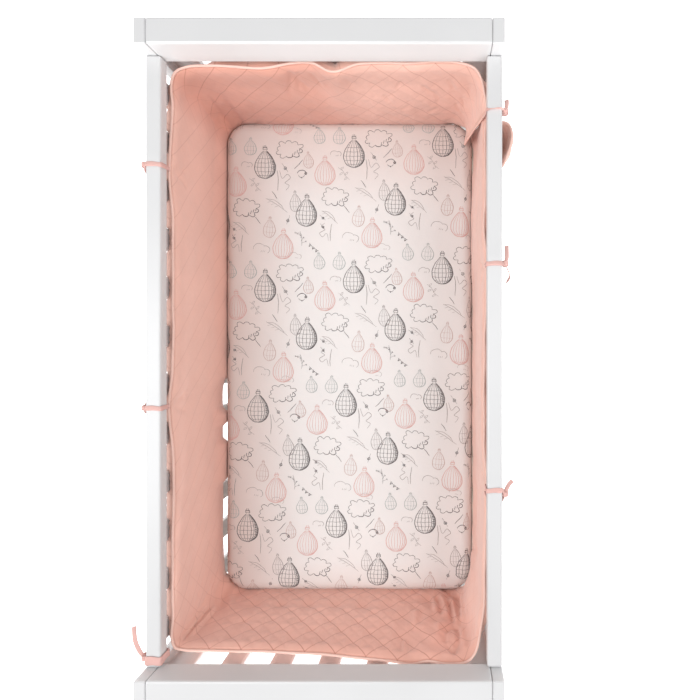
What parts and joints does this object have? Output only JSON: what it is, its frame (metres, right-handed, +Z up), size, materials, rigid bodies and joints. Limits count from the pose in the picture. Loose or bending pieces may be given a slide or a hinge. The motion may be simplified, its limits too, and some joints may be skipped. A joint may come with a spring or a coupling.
{
  "type": "crib bumper tied in a slatted crib with mattress",
  "caption": "Diamond-quilted padded crib bumper with piping and fabric ties, tied inside the rails of a plain white slatted crib, round a mattress in a printed fitted sheet.",
  "frame": {"origin": "on the floor under the middle of the crib's footprint, which its ties overhang by a little more on one side", "axes": "+X across the crib, +Y along it towards the head, +Z up"},
  "size_m": [0.8508, 1.443, 0.925],
  "materials": {
    "paint": "white satin paint",
    "board": "bare board",
    "ticking": "plain cotton cover",
    "print": "pale cotton printed with line-drawn balloons and clouds",
    "quilt": "salmon-pink cotton, matt",
    "piping": "salmon-pink cotton, matt",
    "tie": "pale pink cotton, matt"
  },
  "bodies": {
    "root": {"post_head_left": "paint", "post_head_right": "paint", "head_rail_top": "paint", "head_rail_low": "paint", "head_slat_1": "paint", "head_slat_2": "paint", "head_slat_3": "paint", "head_slat_4": "paint", "head_slat_5": "paint", "post_foot_left": "paint", "post_foot_right": "paint", "foot_rail_top": "paint", "foot_rail_low": "paint", "foot_slat_1": "paint", "foot_slat_2": "paint", "foot_slat_3": "paint", "foot_slat_4": "paint", "foot_slat_5": "paint", "left_rail_top": "paint", "left_rail_low": "paint", "left_slat_1": "paint", "left_slat_2": "paint", "left_slat_3": "paint", "left_slat_4": "paint", "left_slat_5": "paint", "left_slat_6": "paint", "left_slat_7": "paint", "left_slat_8": "paint", "left_slat_9": "paint", "left_slat_10": "paint", "left_slat_11": "paint", "left_slat_12": "paint", "right_rail_top": "paint", "right_rail_low": "paint", "right_slat_1": "paint", "right_slat_2": "paint", "right_slat_3": "paint", "right_slat_4": "paint", "right_slat_5": "paint", "right_slat_6": "paint", "right_slat_7": "paint", "right_slat_8": "paint", "right_slat_9": "paint", "right_slat_10": "paint", "right_slat_11": "paint", "right_slat_12": "paint", "mattress_board": "board", "mattress": "ticking", "fitted_sheet": "print", "bumper": "quilt", "bumper_piping": "piping", "tie_left_head": "tie", "tie_left_mid": "tie", "tie_left_foot": "tie", "tie_right_head": "tie", "tie_right_mid": "tie", "tie_right_foot": "tie"}
  },
  "joints": []
}
